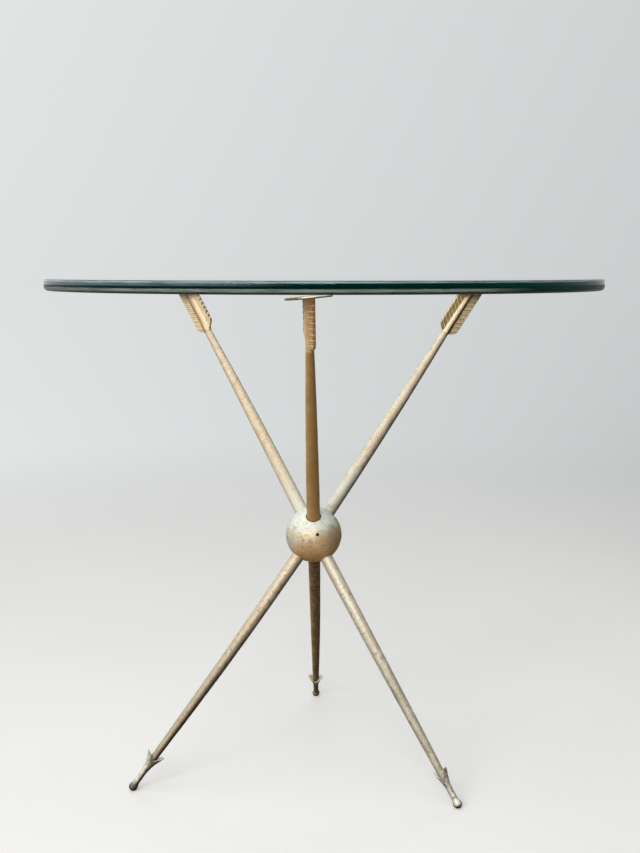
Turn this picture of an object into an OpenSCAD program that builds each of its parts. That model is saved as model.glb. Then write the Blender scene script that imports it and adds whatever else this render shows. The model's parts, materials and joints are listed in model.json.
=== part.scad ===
// Round glass side table on three crossed arrows.
// The arrows meet in a hollow ball, stand on the knobs at their points and carry the glass
// on small plates at their nocks. Millimetres, +Z up. The origin lies on the floor under the
// centre of the glass, and the front of the table is towards -Y.

/* [Glass top] */
// Height of the upper face of the glass above the floor
table_h = 556; // [500:1:620]
// Diameter of the glass
glass_d = 600; // [500:5:700]
// Thickness of the glass
glass_t = 12; // [8:0.5:15]
// Polished round along the upper edge
glass_upper_r = 2; // [0.5:0.1:3]
// Polished round along the lower edge
glass_lower_r = 3.5; // [1:0.1:4]

/* [Hub ball] */
// Diameter of the ball that the arrows meet in
ball_d = 63.2; // [56:0.5:72]
// Height of the centre of the ball above the floor
ball_h = 268.9; // [230:1:300]
// Place of the ball from the centre of the glass, to the right
ball_x = -11.5; // [-30:0.1:30]
// Place of the ball from the centre of the glass, to the back
ball_y = -2; // [-30:0.1:30]
// Wall of the hollow ball
ball_wall = 17; // [14:0.5:19]
// Depth at which the full shaft seats inside the ball
seat_depth = 4; // [3:0.5:6]
// Dark ring left open round each shaft where it enters the ball
seat_ring = 0.5; // [0.3:0.1:1]
// Diameter of the vent hole that let the hot air out while the joints were brazed
vent_d = 2.8; // [2:0.1:5]
// Compass direction of the vent hole
vent_azimuth = 278; // [270:1:290]
// Upward slope of the vent hole
vent_rise = 12; // [0:1:20]

/* [Arrow shafts] */
// Diameter of an upper shaft at the ball
upper_shaft_d = 15; // [12:0.1:15.5]
// Diameter of an upper shaft halfway, where it is slightly full
upper_mid_d = 12.9; // [10:0.1:14.5]
// Diameter of a lower shaft at the ball
lower_shaft_d = 14; // [12:0.1:15]
// Diameter of a lower shaft halfway
lower_mid_d = 12; // [10:0.1:14]
// Diameter of an upper shaft at its fletching
shaft_nock_d = 8.6; // [7:0.1:10]
// Diameter of a lower shaft at its head
shaft_head_d = 7.8; // [6.8:0.1:8]
// Diameter of the turned spigots in the ball
hub_spigot_d = 8; // [6:0.1:9]
// Diameter of the turned spigots in the heads and fletchings
tip_spigot_d = 4.4; // [3.5:0.1:5]
// Length of the spigots in the heads and fletchings
tip_spigot_l = 12; // [8:0.5:14]
// Gap round every spigot, filled by the braze
braze_gap = 0.05; // [0.02:0.01:0.1]

/* [Arrow feet] */
// Reach of the front left foot from the axis of the ball
foot_1_reach = 212.4; // [190:0.1:230]
// Reach of the front right foot
foot_2_reach = 193.5; // [180:0.1:220]
// Reach of the back foot
foot_3_reach = 200.4; // [180:0.1:220]
// Compass direction of the front left foot
foot_1_azimuth = 201.1; // [192:0.1:212]
// Compass direction of the front right foot
foot_2_azimuth = 321.9; // [312:0.1:332]
// Compass direction of the back foot
foot_3_azimuth = 89.2; // [80:0.1:100]

/* [Arrow tops] */
// Reach of the back right arrow at the glass
top_1_reach = 204.8; // [185:0.1:220]
// Reach of the back left arrow at the glass
top_2_reach = 194.6; // [180:0.1:215]
// Reach of the front arrow at the glass
top_3_reach = 200.5; // [185:0.1:220]
// Compass direction of the back right arrow
top_1_azimuth = 23.6; // [14:0.1:34]
// Compass direction of the back left arrow
top_2_azimuth = 142.3; // [132:0.1:152]
// Compass direction of the front arrow
top_3_azimuth = 268.7; // [259:0.1:278]

/* [Arrow heads] */
// Diameter of the knob that the arrow stands on
knob_d = 9.2; // [8:0.1:11]
// Depth that the floor flat takes off the knob
foot_flat = 0.3; // [0.1:0.05:0.6]
// Diameter of the neck above the knob
neck_d = 6.6; // [5.8:0.1:7]
// Radius of the hollow between the knob and the neck
neck_r = 13; // [8:0.5:18]
// Height above the centre of the knob at which the neck begins to flare
flare_z = 16; // [12:0.5:18]
// Length of the front left head from the centre of the knob to the tips of the barbs
head_1_l = 43.6; // [38:0.1:48]
// Length of the front right head
head_2_l = 40; // [38:0.1:48]
// Length of the back head
head_3_l = 41; // [38:0.1:48]
// Width across the two barbs of the front left head
barb_1_w = 22.6; // [18:0.1:26]
// Width across the barbs of the front right head
barb_2_w = 21; // [18:0.1:26]
// Width across the barbs of the back head
barb_3_w = 20.6; // [18:0.1:26]
// Depth of the notch between the barbs
notch_depth = 8; // [6:0.1:9]
// Width left on each barb's tip
barb_tip_w = 0.9; // [0.5:0.1:2]
// Thickness of the head at its middle
head_t = 10; // [9:0.1:11]
// Thickness of the head at the tips of the barbs
barb_t = 5; // [3:0.1:6]
// Turn of the front left head about its shaft
head_1_turn = 0; // [-90:1:90]
// Turn of the front right head about its shaft
head_2_turn = -10; // [-90:1:90]
// Turn of the back head about its shaft
head_3_turn = 88; // [-90:1:90]

/* [Fletchings] */
// Length of the back right fletching from the underside of the glass, along the arrow
fletch_1_l = 65; // [55:0.5:80]
// Length of the back left fletching
fletch_2_l = 63; // [55:0.5:80]
// Length of the front fletching
fletch_3_l = 67; // [55:0.5:80]
// Diameter of the midrib at its upper end
midrib_d = 6.4; // [5.6:0.1:7.5]
// Half width of the vanes, from the arrow's axis to the barb ends
vane_w = 13; // [10:0.1:15]
// Thickness of the thin web of a vane
web_t = 2; // [1.2:0.1:3]
// How far the web stops short of the barb ends
web_inset = 0.3; // [0.2:0.1:2]
// Thickness of the raised barbs on a vane
rib_t = 3.6; // [3.2:0.1:4.5]
// Width of a raised barb
rib_w = 2.3; // [1.5:0.1:3]
// Spacing of the raised barbs along the arrow
rib_pitch = 6.4; // [4.5:0.1:8]
// Angle by which the barbs sweep back towards the nock
rib_sweep = 36; // [20:1:45]
// Radius of the rounded corner at the lower end of a vane
lobe_r = 2; // [1.5:0.1:3.5]
// Turn of the back right fletching about its arrow
fletch_1_turn = 0; // [-45:1:45]
// Turn of the back left fletching about its arrow
fletch_2_turn = 0; // [-45:1:45]
// Turn of the front fletching about its arrow
fletch_3_turn = 23; // [-45:1:45]

/* [Rest plates] */
// Diameter of the plates under the glass
plate_d = 45; // [40:0.5:50]
// Thickness of the plates
plate_t = 2.2; // [1.8:0.1:4]
// Bevel round the edge of the plates
plate_bevel = 0.5; // [0.2:0.1:0.8]
// Diameter of the rivet stub that holds a plate on its nock
rivet_d = 4.4; // [3.5:0.1:5]
// Sideways tilt of the front plate, which is bent
front_plate_tilt = 5; // [0:0.1:7]
// Least gap between a tilted plate and the glass
plate_clear = 1.1; // [0.4:0.1:1.5]

/* [Bumpers] */
// Thickness of the clear bumpers between plate and glass
bumper_t = 2.5; // [1.5:0.1:4]
// Diameter of the bumpers
bumper_d = 26; // [16:0.5:27]
// Sideways place of the front bumper on its plate, where it has crept
front_bumper_shift = 8.5; // [0:0.5:8.5]

/* [Hidden] */
$fn = 96;

// Overlap that lets a cut run clean through a face
cut = 1;

// The values of the three arrows as lists, in the order of their names
foot_reach = [foot_1_reach, foot_2_reach, foot_3_reach];
foot_azimuth = [foot_1_azimuth, foot_2_azimuth, foot_3_azimuth];
top_reach = [top_1_reach, top_2_reach, top_3_reach];
top_azimuth = [top_1_azimuth, top_2_azimuth, top_3_azimuth];
head_l = [head_1_l, head_2_l, head_3_l];
barb_w = [barb_1_w, barb_2_w, barb_3_w];
head_turn = [head_1_turn, head_2_turn, head_3_turn];
fletch_l = [fletch_1_l, fletch_2_l, fletch_3_l];
fletch_turn = [fletch_1_turn, fletch_2_turn, fletch_3_turn];
plate_tilt = [0, 0, front_plate_tilt];
bumper_shift = [0, 0, front_bumper_shift];

// Heights and the slopes and lengths of the half arrows, from the centre of the ball
hub = [ball_x, ball_y, ball_h];
glass_z = table_h - glass_t;
knob_r = knob_d / 2;
knob_z = knob_r - foot_flat;
lower_drop = ball_h - knob_z;
upper_rise = glass_z - ball_h;
lower_slope = [for (reach = foot_reach) atan2(lower_drop, reach)];
upper_slope = [for (reach = top_reach) atan2(upper_rise, reach)];
lower_l = [for (reach = foot_reach) norm([reach, lower_drop])];
upper_l = [for (reach = top_reach) norm([reach, upper_rise])];

// The ball's seats: each shaft's shoulder bears at seat_r, its spigot ends at the hollow core
ball_r = ball_d / 2;
core_r = ball_r - ball_wall;
seat_r = ball_r - seat_depth;
hub_spigot_l = seat_r - core_r;

// The head's profile: the knob, a hollow that is tangent to it, the neck and a flaring flank
neck_half = neck_d / 2;
barb_half = [for (width = barb_w) width / 2];
neck_z = sqrt(pow(knob_r + neck_r, 2) - pow(neck_half + neck_r, 2));
knob_share = knob_r / (knob_r + neck_r);
collar_r = (neck_half + neck_r) * knob_share;
collar_z = neck_z * knob_share;
flare_l = [for (length = head_l) length - flare_z];
flare_out = [for (half = barb_half) half - neck_half];
flank_r = [for (i = [0:2])
    (pow(flare_l[i], 2) + pow(flare_out[i], 2)) / (2 * flare_out[i])];
// Radius of the two arcs that give the head its lens section
lens_drop = (head_t - barb_t) / 2;
lens_r = [for (half = barb_half) (pow(half, 2) + pow(lens_drop, 2)) / (2 * lens_drop)];
// The notch, and the lower shaft's shoulder, which seats a little deeper
notch_z = [for (length = head_l) length - notch_depth];
shoulder_depth = 0.6;
head_seat_z = [for (z = notch_z) z - shoulder_depth];

// The plates: where each meets its arrow, with its middle lowered if it is tilted
plate_r = plate_d / 2;
plate_gap = [for (tilt = plate_tilt) max(bumper_t, plate_clear + plate_r * sin(abs(tilt)))];
plate_z = [for (gap = plate_gap) glass_z - gap - plate_t];
plate_reach = [for (i = [0:2]) top_reach[i] * (plate_z[i] - ball_h) / upper_rise];

// The vanes: each web reaches past the plate, and the plate's underside trims it
web_w = vane_w - web_inset;
sweep_rise = tan(rib_sweep);
vane_l = max(fletch_l) + 2 * vane_w;
rib_count = ceil(vane_l / rib_pitch);

brass = [0.72, 0.58, 0.40];
pale_brass = [0.83, 0.74, 0.60];
dark_brass = [0.50, 0.44, 0.35];
gilt = [0.80, 0.65, 0.42];

// Places its children with +Z up the upper half of arrow i, from the centre of the ball.
// +X is then the outer, lower side of the arrow.
module on_upper(i)
    translate(hub) rotate([0, 90 - upper_slope[i], top_azimuth[i]]) children();

// Places its children with +Z down the lower half of arrow i, from the centre of the ball
module on_lower(i)
    translate(hub) rotate([0, 90 + lower_slope[i], foot_azimuth[i]]) children();

// Places its children with +Z up the lower half of arrow i, from the centre of its knob
module on_knob(i)
    on_lower(i) translate([0, 0, lower_l[i]]) rotate([180, 0, 0]) children();

// Places its children with the underside of plate i at Z 0 and its middle at the arrow's axis
module on_plate(i)
    translate([
        hub.x + plate_reach[i] * cos(top_azimuth[i]),
        hub.y + plate_reach[i] * sin(top_azimuth[i]),
        plate_z[i]
    ]) rotate([plate_tilt[i], 0, top_azimuth[i]]) children();

// All space above the plane Z 0, as far as size reaches
module space_above(size)
    translate([-size / 2, -size / 2, 0]) cube(size);

// Round glass with its polished edge
module glass_top() {
    radius = glass_d / 2;
    color([0.55, 0.75, 0.70, 0.35]) translate([0, 0, glass_z]) rotate_extrude($fn = 180) {
        square([radius - glass_lower_r, glass_lower_r]);
        translate([0, glass_lower_r])
            square([radius, glass_t - glass_lower_r - glass_upper_r]);
        translate([0, glass_t - glass_upper_r])
            square([radius - glass_upper_r, glass_upper_r]);
        translate([radius - glass_lower_r, glass_lower_r]) circle(glass_lower_r);
        translate([radius - glass_upper_r, glass_t - glass_upper_r]) circle(glass_upper_r);
    }
}

// The two steps of a socket in the ball: the seat of the full shaft and the spigot's bore
module hub_socket(shaft_d) {
    translate([0, 0, seat_r]) cylinder(d = shaft_d + 2 * seat_ring, h = seat_depth + cut);
    translate([0, 0, core_r - cut])
        cylinder(d = hub_spigot_d + 2 * braze_gap, h = hub_spigot_l + 2 * cut);
}

// Hollow ball with six sockets and a vent hole
module hub_ball() {
    color(pale_brass) difference() {
        translate(hub) sphere(ball_r);
        translate(hub) sphere(core_r);
        for (i = [0:2]) {
            on_upper(i) hub_socket(upper_shaft_d);
            on_lower(i) hub_socket(lower_shaft_d);
        }
        translate(hub) rotate([0, 90 - vent_rise, vent_azimuth])
            translate([0, 0, core_r - cut]) cylinder(d = vent_d, h = ball_wall + 2 * cut);
    }
}

// Tapered shaft from its shoulder in the ball to end_z, with a spigot at each end
module shaft(start_d, mid_d, end_z, end_d)
    rotate_extrude() polygon([
        [0, core_r],
        [hub_spigot_d / 2, core_r],
        [hub_spigot_d / 2, seat_r],
        [start_d / 2, seat_r],
        [mid_d / 2, (seat_r + end_z) / 2],
        [end_d / 2, end_z],
        [tip_spigot_d / 2, end_z],
        [tip_spigot_d / 2, end_z + tip_spigot_l],
        [0, end_z + tip_spigot_l]
    ]);

module lower_shaft(i) {
    color(dark_brass) on_lower(i)
        shaft(lower_shaft_d, lower_mid_d, lower_l[i] - head_seat_z[i], shaft_head_d);
}

module upper_shaft(i) {
    color(brass) on_upper(i)
        shaft(upper_shaft_d, upper_mid_d, upper_l[i] - fletch_l[i], shaft_nock_d);
}

// Half outline of the head round its axis, from the middle of the knob to the barbs
module head_outline(i) {
    difference() {
        translate([0, collar_z]) square([collar_r, neck_z - collar_z]);
        translate([neck_half + neck_r, neck_z]) circle(neck_r);
    }
    translate([0, neck_z]) square([neck_half, flare_z - neck_z]);
    difference() {
        translate([0, flare_z]) square([barb_half[i], flare_l[i]]);
        translate([neck_half + flank_r[i], flare_z]) circle(flank_r[i], $fn = 240);
    }
}

// Lens section that thins the flaring head towards its two barbs
module head_lens(i) {
    shift = lens_r[i] - head_t / 2;
    intersection() {
        translate([0, shift]) circle(lens_r[i], $fn = 180);
        translate([0, -shift]) circle(lens_r[i], $fn = 180);
    }
}

// Wedge between the two barbs, which the shaft comes out of
module head_notch(i) {
    half = barb_half[i] - barb_tip_w;
    rotate([90, 0, 0]) linear_extrude(2 * head_t, center = true) polygon([
        [0, notch_z[i]],
        [half, head_l[i]],
        [half, head_l[i] + cut],
        [-half, head_l[i] + cut],
        [-half, head_l[i]]
    ]);
}

// Cast head with its knob, barbs and the socket of the shaft
module arrow_head(i) {
    color(dark_brass) difference() {
        on_knob(i) rotate([0, 0, head_turn[i]]) difference() {
            union() {
                sphere(knob_r);
                intersection() {
                    rotate_extrude() head_outline(i);
                    linear_extrude(head_l[i] + cut) head_lens(i);
                }
            }
            head_notch(i);
            translate([0, 0, head_seat_z[i]])
                cylinder(d = shaft_head_d + 2 * braze_gap, h = head_l[i]);
            translate([0, 0, head_seat_z[i] - tip_spigot_l])
                cylinder(d = tip_spigot_d + 2 * braze_gap, h = tip_spigot_l + cut);
        }
        // The floor takes a small flat off the knob
        translate([
            hub.x + foot_reach[i] * cos(foot_azimuth[i]),
            hub.y + foot_reach[i] * sin(foot_azimuth[i]),
            0
        ]) rotate([180, 0, 0]) space_above(knob_d);
    }
}

// Raised barb from the axis outwards and back towards the nock
module vane_rib(length)
    rotate([0, 90 - rib_sweep, 0]) linear_extrude(length) polygon([
        for (side = [1, -1], step = [2, 1, -1, -2])
            [side * step * rib_w / 4, side * (abs(step) == 2 ? web_t / 2 : rib_t / 2)]
    ]);

// One vane: a thin web, raised barbs trimmed just past its edge, and a rounded lower corner
module vane() {
    lobe_x = vane_w - lobe_r;
    rotate([90, 0, 0]) linear_extrude(web_t, center = true) polygon([
        [0, 0],
        [web_w, web_w * sweep_rise],
        [web_w, vane_l],
        [0, vane_l]
    ]);
    vane_rib(lobe_x / cos(rib_sweep));
    intersection() {
        for (k = [1:rib_count])
            translate([0, 0, k * rib_pitch]) vane_rib((vane_w + rib_w) / cos(rib_sweep));
        translate([0, -rib_t, 0]) cube([vane_w, 2 * rib_t, 2 * vane_l]);
    }
    translate([lobe_x, 0, lobe_x * sweep_rise + lobe_r - rib_w / 2])
        rotate([90, 0, 0]) cylinder(r = lobe_r, h = rib_t, center = true);
}

// Cast fletching: a midrib on the shaft's spigot, two vanes and the rivet stub on top
module fletching(i) {
    start_z = upper_l[i] - fletch_l[i];
    color(gilt) {
        difference() {
            on_upper(i) translate([0, 0, start_z]) {
                cylinder(d1 = shaft_nock_d, d2 = midrib_d, h = fletch_l[i]);
                rotate([0, 0, fletch_turn[i]]) vane();
                rotate([0, 0, fletch_turn[i] + 180]) vane();
            }
            on_plate(i) space_above(vane_l);
            on_upper(i) translate([0, 0, start_z - cut])
                cylinder(d = tip_spigot_d + 2 * braze_gap, h = tip_spigot_l + cut);
        }
        on_plate(i) translate([0, 0, -cut]) cylinder(d = rivet_d, h = plate_t + cut);
    }
}

// Round plate that carries the glass, riveted on the nock
module rest_plate(i) {
    color(brass) on_plate(i) difference() {
        union() {
            cylinder(r1 = plate_r - plate_bevel, r2 = plate_r, h = plate_bevel);
            translate([0, 0, plate_bevel]) cylinder(r = plate_r, h = plate_t - 2 * plate_bevel);
            translate([0, 0, plate_t - plate_bevel])
                cylinder(r1 = plate_r, r2 = plate_r - plate_bevel, h = plate_bevel);
        }
        translate([0, 0, -cut]) cylinder(d = rivet_d + 2 * braze_gap, h = plate_t + 2 * cut);
    }
}

// Clear bumper that fills the space between plate and glass
module bumper(i) {
    reach = plate_reach[i];
    shift = bumper_shift[i];
    depth = plate_gap[i] + plate_t;
    color([0.92, 0.93, 0.92, 0.8]) difference() {
        translate([hub.x, hub.y, glass_z]) rotate([0, 0, top_azimuth[i]])
            translate([reach, shift, 0]) mirror([0, 0, 1]) cylinder(d = bumper_d, h = depth);
        on_plate(i) translate([0, 0, plate_t]) mirror([0, 0, 1]) space_above(2 * plate_d);
    }
}

glass_top();
hub_ball();
arrow_head(0);  // arrow_1_head
lower_shaft(0);  // arrow_1_lower_shaft
upper_shaft(0);  // arrow_1_upper_shaft
fletching(0);  // arrow_1_fletching
rest_plate(0);  // arrow_1_rest_plate
bumper(0);  // arrow_1_bumper
arrow_head(1);  // arrow_2_head
lower_shaft(1);  // arrow_2_lower_shaft
upper_shaft(1);  // arrow_2_upper_shaft
fletching(1);  // arrow_2_fletching
rest_plate(1);  // arrow_2_rest_plate
bumper(1);  // arrow_2_bumper
arrow_head(2);  // arrow_3_head
lower_shaft(2);  // arrow_3_lower_shaft
upper_shaft(2);  // arrow_3_upper_shaft
fletching(2);  // arrow_3_fletching
rest_plate(2);  // arrow_3_rest_plate
bumper(2);  // arrow_3_bumper
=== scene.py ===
"""Looks of the round glass side table on three crossed brass arrows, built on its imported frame.

Each piece is modelled in millimetres, in a frame of its own, and is then placed in metres.
Cast pieces are formed as fields whose zero surface is meshed, turned pieces on a lathe.
"""
import json
import math
from types import SimpleNamespace

import bpy
import numpy as np
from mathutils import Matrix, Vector, noise


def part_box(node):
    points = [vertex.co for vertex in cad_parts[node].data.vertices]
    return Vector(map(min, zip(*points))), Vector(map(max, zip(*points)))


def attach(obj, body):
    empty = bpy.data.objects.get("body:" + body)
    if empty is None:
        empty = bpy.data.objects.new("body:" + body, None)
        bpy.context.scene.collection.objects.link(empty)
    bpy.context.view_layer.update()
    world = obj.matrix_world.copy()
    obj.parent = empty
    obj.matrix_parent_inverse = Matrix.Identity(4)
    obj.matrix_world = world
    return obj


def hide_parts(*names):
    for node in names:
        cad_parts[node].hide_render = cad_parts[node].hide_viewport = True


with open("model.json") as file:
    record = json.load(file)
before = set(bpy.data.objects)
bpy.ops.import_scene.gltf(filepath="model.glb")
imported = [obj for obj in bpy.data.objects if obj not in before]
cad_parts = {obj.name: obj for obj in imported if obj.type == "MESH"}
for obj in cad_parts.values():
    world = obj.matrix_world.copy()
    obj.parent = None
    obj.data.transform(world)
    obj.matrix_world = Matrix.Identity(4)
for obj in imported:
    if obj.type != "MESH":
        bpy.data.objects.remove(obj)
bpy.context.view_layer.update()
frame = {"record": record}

# The photograph's camera, in metres and degrees
CAMERA_PLACE = (-0.0114, -1.2484, 0.5638)
CAMERA_DOWN = 7.85
CAMERA_RIGHT = 0.32
FOCAL_PIXELS = 1126
IMAGE_HEIGHT = 853
SENSOR_MM = 36

# The floor: its own glow for what is seen, the share of its look that a gloss mirrors, where it
# passes into the backdrop and how far it reaches, in metres
FLOOR_GLOW = 0.25
FLOOR_GLOSS = 0.15
FLOOR_FADE = (0.6, 2.6)
FLOOR_R = 40
FLOOR_SIDES = 64

# The floor's colours: its two shades, that of its glow, and that of the light it throws back
FLOOR_SHADES = ((0.80, 0.79, 0.77, 1), (0.83, 0.82, 0.80, 1))
FLOOR_GLOW_COLOUR = (1.0, 0.99, 0.97, 1)
FLOOR_BOUNCE = (0.2, 0.19, 0.18, 1)

# The backdrop: the share of it that a gloss mirrors, its pale side, and its tones up to that side
BACKDROP_GLOSS = 1.0
PALE_SIDE = (-0.85, 0.25, 0.45)
BACKDROP_TONES = ((0.26, 0.27, 0.27, 1), (0.60, 0.62, 0.62, 1), (0.88, 0.90, 0.90, 1))

# The even light on all surfaces
EVEN_LIGHT = 0.07
EVEN_COLOUR = (0.94, 0.97, 1.0, 1)

# Each lamp's place and size in metres, its power in watts and its colour
LAMP_TARGET = (0, 0, 0.3)
LAMPS = {
    "window": ((-0.95, -2.7, 1.8), (2.6, 1.5), 82, (1.0, 0.99, 0.96)),
    "sky": ((-0.9, -0.3, 2.4), (2.4, 2.4), 22, (0.95, 0.98, 1.0)),
    "back": ((0.5, 2.4, 2.7), (2.0, 1.2), 12, (1.0, 1.0, 1.0)),
}

# Sizes in millimetres and angles in degrees, as the real pieces have them. Where the arrows
# differ, each has a number of its own
MM = 0.001
ARROWS = (1, 2, 3)

# The pane
GLASS_UPPER_R = 2
GLASS_LOWER_R = 3.5
EDGE_SWELL_R = 20
EDGE_LEAD = 0.4

# The ball, its sockets and its vent
BALL_WALL = 17
SEAT_DEPTH = 4
SEAT_RING = 0.5
HUB_SPIGOT_R = 4
VENT_R = 1.4
VENT_AZIMUTH = 278
VENT_RISE = 12
SOCKET_WEAR_R = 0.35

# The half shafts, whose diameters are given at the ball, in the middle and at the far end
UPPER_SHAFT_D = (15, 12.9, 8.6)
LOWER_SHAFT_D = (14, 12, 7.8)
BOW = {
    "arrow_1_upper_shaft": 0.8, "arrow_2_upper_shaft": 0.6, "arrow_3_upper_shaft": 0,
    "arrow_1_lower_shaft": 1.6, "arrow_2_lower_shaft": -0.4, "arrow_3_lower_shaft": 0.5,
}
SHAFT_BEVEL = 0.4
SHAFT_TONE = {1: (0, 0.3), 2: (0.18, 0), 3: (1, 1)}
LIT_SIDE = np.array([-0.604, -0.252, 0.755])

# Darkening of each shaft: an even dark tone all over, painted shade on the side away from the
# light, and the share left at the ball
SOOT = {
    "arrow_1_upper_shaft": (0, 0.5, 0.9),
    "arrow_2_upper_shaft": (0.07, 0.12, 0.8),
    "arrow_3_upper_shaft": (0, 0.1, 1),
    "arrow_1_lower_shaft": (0.18, 0.8, 0.4),
    "arrow_2_lower_shaft": (0.1, 0, 0.3),
    "arrow_3_lower_shaft": (0, 0.35, 0.6),
}

# The heads
KNOB_R = 4.6
FOOT_FLAT = 0.3
NECK_R = 3.3
FLARE_Z = 16
HEAD_L = {1: 43.6, 2: 40, 3: 41}
BARB_HALF = {1: 11.3, 2: 10.5, 3: 10.3}
HEAD_TURN = {1: 0, 2: -10, 3: 88}
HEAD_TONE = {1: 0.1, 2: 0, 3: 0.8}
# Each head's even dark tone, and its painted shade on the side away from the light
HEAD_SOOT = {1: (0.1, 0.8), 2: (0.05, 0.1), 3: (0, 0.05)}
# How high above the floor each head is darkened, in millimetres
FOOT_GRIME = {1: 14, 2: 4.5, 3: 2.5}
NOTCH_DEPTH = 8
SHOULDER_DEPTH = 0.6
BARB_TIP_W = 0.9
HEAD_T = 10
BARB_T = 5
KNOB_BLEND = 3
LENS_BLEND = 1.2
NOTCH_WEAR_R = 0.7
HEAD_SOCKET_GAP = 0.15
HEAD_SOCKET_WEAR_R = 0.3

# The fletchings
FLETCH_L = {1: 65, 2: 63, 3: 67}
FLETCH_TURN = {1: 0, 2: 0, 3: 23}
MIDRIB_R = 3.2
VANE_W = 13
VANE_CORNER_R = 4
VANE_WEAR_R = 0.6
RAIL_W = 1.6
WEB_T = 2
RIB_T = 3.2
RIB_W = 2.3
RIB_SWEEP = 36
RIB_PITCH = {1: 6.2, 2: 5.8, 3: 7}
RIB_START = {1: 0.5, 2: 0.5, 3: 0.46}
MIDRIB_BLEND = {1: 1.2, 2: 2.6, 3: 1.4}
MIDRIB_BLEND_RIGHT = 0.6
# Share of painted shade under the lower side of each midrib
UNDER_MIDRIB = {1: 0.95, 2: 0.55, 3: 0}
FLETCH_GOLD = {1: 0, 2: 0, 3: 1}

# The lower and the upper vane of each fletching: barb contrast, painted shade in the gaps of the
# outer edge and at the lower ends, a painted highlight on the outer rail, and tone
BARB_CONTRAST = {1: (0.5, 1), 2: (0.5, 0.3), 3: (1, 0.7)}
EDGE_GAPS = {1: (0.5, 0.1), 2: (0.1, 0.9), 3: (0.4, 0.2)}
END_GRIME = {1: (0.7, 0.2), 2: (0.2, 0.9), 3: (0.8, 0.4)}
BRIGHT_RAIL = {1: (0, 0.9), 2: (0, 0), 3: (0, 0)}
FLETCH_TONE = {1: (0.4, 0.95), 2: (0, 0), 3: (0, 0)}

# The plates and bumpers
PLATE_R = 22.5
PLATE_T = 2.2
PLATE_BEVEL = 0.5
PLATE_TILT = {1: 0, 2: 0, 3: 5}
# Share of the painted highlight on each plate's rim
PLATE_WORN = {1: 0, 2: 0, 3: 1}
RIVET_R = 2.2
RIVET_GAP = 0.05
BUMPER_R = 13
BUMPER_SHIFT = {1: 0, 2: 0, 3: 8.5}
BUMPER_INSET = 0.5
BUMPER_BULGE = 0.45
BUMPER_GAP = 0.04

# Bands of the pane's edge, as the four heights or turns between which each one comes and goes
SEAM_HEIGHT = (1.9, 2.3, 4.4, 5.0)
SEAM_TURN = (20, 60, 294, 310)
ARRIS_HEIGHT = (9.7, 10.1, 11.1, 11.4)
# A painted reflection high on the front left of the edge
VEIL_HEIGHT = (6.8, 8, 10, 11)
VEIL_TURN = (200, 222, 246, 266)
# Thin lines of painted shade, low and high on the edge
UNDER_GRIME_HEIGHT = (0.02, 0.1, 1.3, 1.8)
OVER_GRIME_HEIGHT = (11.2, 11.5, 11.9, 11.98)
UPPER_SHADE_HEIGHT = (5.5, 6.5)

# How finely the meshes are cut: steps in millimetres, and sides of turned pieces
BALL_STEP = 0.8
CAST_STEP = 0.5
SHAFT_STEP = 2
GLASS_SIDES = 256
SHAFT_SIDES = 56
PLATE_SIDES = 128
BUMPER_SIDES = 96

# Lumps of cast surfaces, each given as its height, its size and its seed, and how far a surface
# is sunk to hold them within its CAD piece
BALL_LUMPS = ((0.14, 11, 1), (0.07, 4, 2))
HEAD_LUMPS = ((0.12, 6, 20), (0.06, 2.2, 30))
FLETCH_LUMPS = ((0.07, 5, 40), (0.04, 1.8, 50))
BALL_SINK = 0.15
HEAD_SINK = 0.05
FLETCH_SINK = 0.03

DOWN = np.array([0.0, 0.0, -1.0])
UP = -DOWN
RIGHT = np.array([1.0, 0.0, 0.0])


# Directions and places

def unit(vector):
    return vector / np.linalg.norm(vector)


class Axes:
    """Where a piece starts, in millimetres, and its directions. X is close to the given side."""

    def __init__(self, origin, z, side):
        self.origin = np.array(origin, float)
        self.z = unit(np.array(z, float))
        self.x = unit(side - np.dot(side, self.z) * self.z)
        self.y = np.cross(self.z, self.x)

    def turned(self, degrees):
        angle = math.radians(degrees)
        return Axes(self.origin, self.z, self.x * math.cos(angle) + self.y * math.sin(angle))

    def moved(self, along):
        return Axes(self.origin + self.z * along, self.z, self.x)

    def point(self, directions):
        """Directions of the piece as directions of the table."""
        return directions @ np.array([self.x, self.y, self.z])

    def place(self, points):
        return self.origin + self.point(points)

    def local(self, points):
        return (points - self.origin) @ np.array([self.x, self.y, self.z]).T


def box_mm(node):
    low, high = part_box(node)
    return np.array(low) / MM, np.array(high) / MM


def azimuth_direction(azimuth, rise):
    level = math.cos(math.radians(rise))
    turn = math.radians(azimuth)
    return np.array([math.cos(turn) * level, math.sin(turn) * level, math.sin(math.radians(rise))])


GLASS_LOW, GLASS_HIGH = box_mm("glass_top")
GLASS_Z = GLASS_LOW[2]
BALL_LOW, BALL_HIGH = box_mm("hub_ball")
HUB = (BALL_LOW + BALL_HIGH) / 2
BALL_R = (BALL_HIGH[2] - BALL_LOW[2]) / 2
CORE_R = BALL_R - BALL_WALL
SEAT_R = BALL_R - SEAT_DEPTH
MOUNT_PLACES = {mount["name"]: np.array(mount["pos_m"]) / MM for mount in frame["record"]["mounts"]}


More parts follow.
